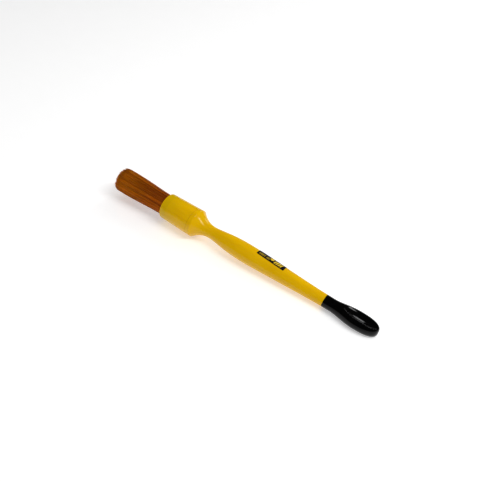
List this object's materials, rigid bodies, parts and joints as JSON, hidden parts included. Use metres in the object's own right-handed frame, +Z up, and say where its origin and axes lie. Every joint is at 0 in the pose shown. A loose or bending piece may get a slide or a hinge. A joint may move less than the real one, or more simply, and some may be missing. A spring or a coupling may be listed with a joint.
{
  "type": "round bristle brush",
  "caption": "Round brush with a cylindrical bristle knot in a push-on sleeve, a waisted plastic handle and a flattened, thumb-dished end grip.",
  "frame": {"origin": "bottom centre of the bounding box of the brush as it lies on a level surface", "axes": "+X from the bristles to the end grip, +Z up; the brush's own axis slopes 2.6 degrees down towards +X because it rests on the ridge of its shoulder and on the flat underside of the end grip"},
  "size_m": [0.2517, 0.0238, 0.0266],
  "materials": {
    "handle_plastic": "moulded, satin gloss",
    "sleeve_plastic": "moulded, slightly translucent",
    "core_plastic": "moulded",
    "wire": "drawn wire",
    "bristle": "bundle of drawn synthetic filaments with air between",
    "potted_bristle": "filament ends set in resin",
    "resin": "cast epoxy",
    "grip": "polished overmould",
    "label": "printed film"
  },
  "bodies": {
    "handle": {"handle": "handle_plastic", "ferrule_sleeve": "sleeve_plastic", "core_plug": "core_plastic", "wire_hoops": "wire", "knot_root": "potted_bristle", "resin_plug": "resin", "end_grip": "grip", "label": "label"},
    "bristles": {"bristle_knot": "bristle"}
  },
  "joints": [
    {"name": "bristle_flex", "type": "hinge", "parent": "handle", "child": "bristles", "pos_m": [-0.07637, 0, 0.01345], "axis": [0.0454, 0, 0.999], "range_deg": [-30, 30], "stiffness_Nm_per_rad": 0.2}
  ]
}
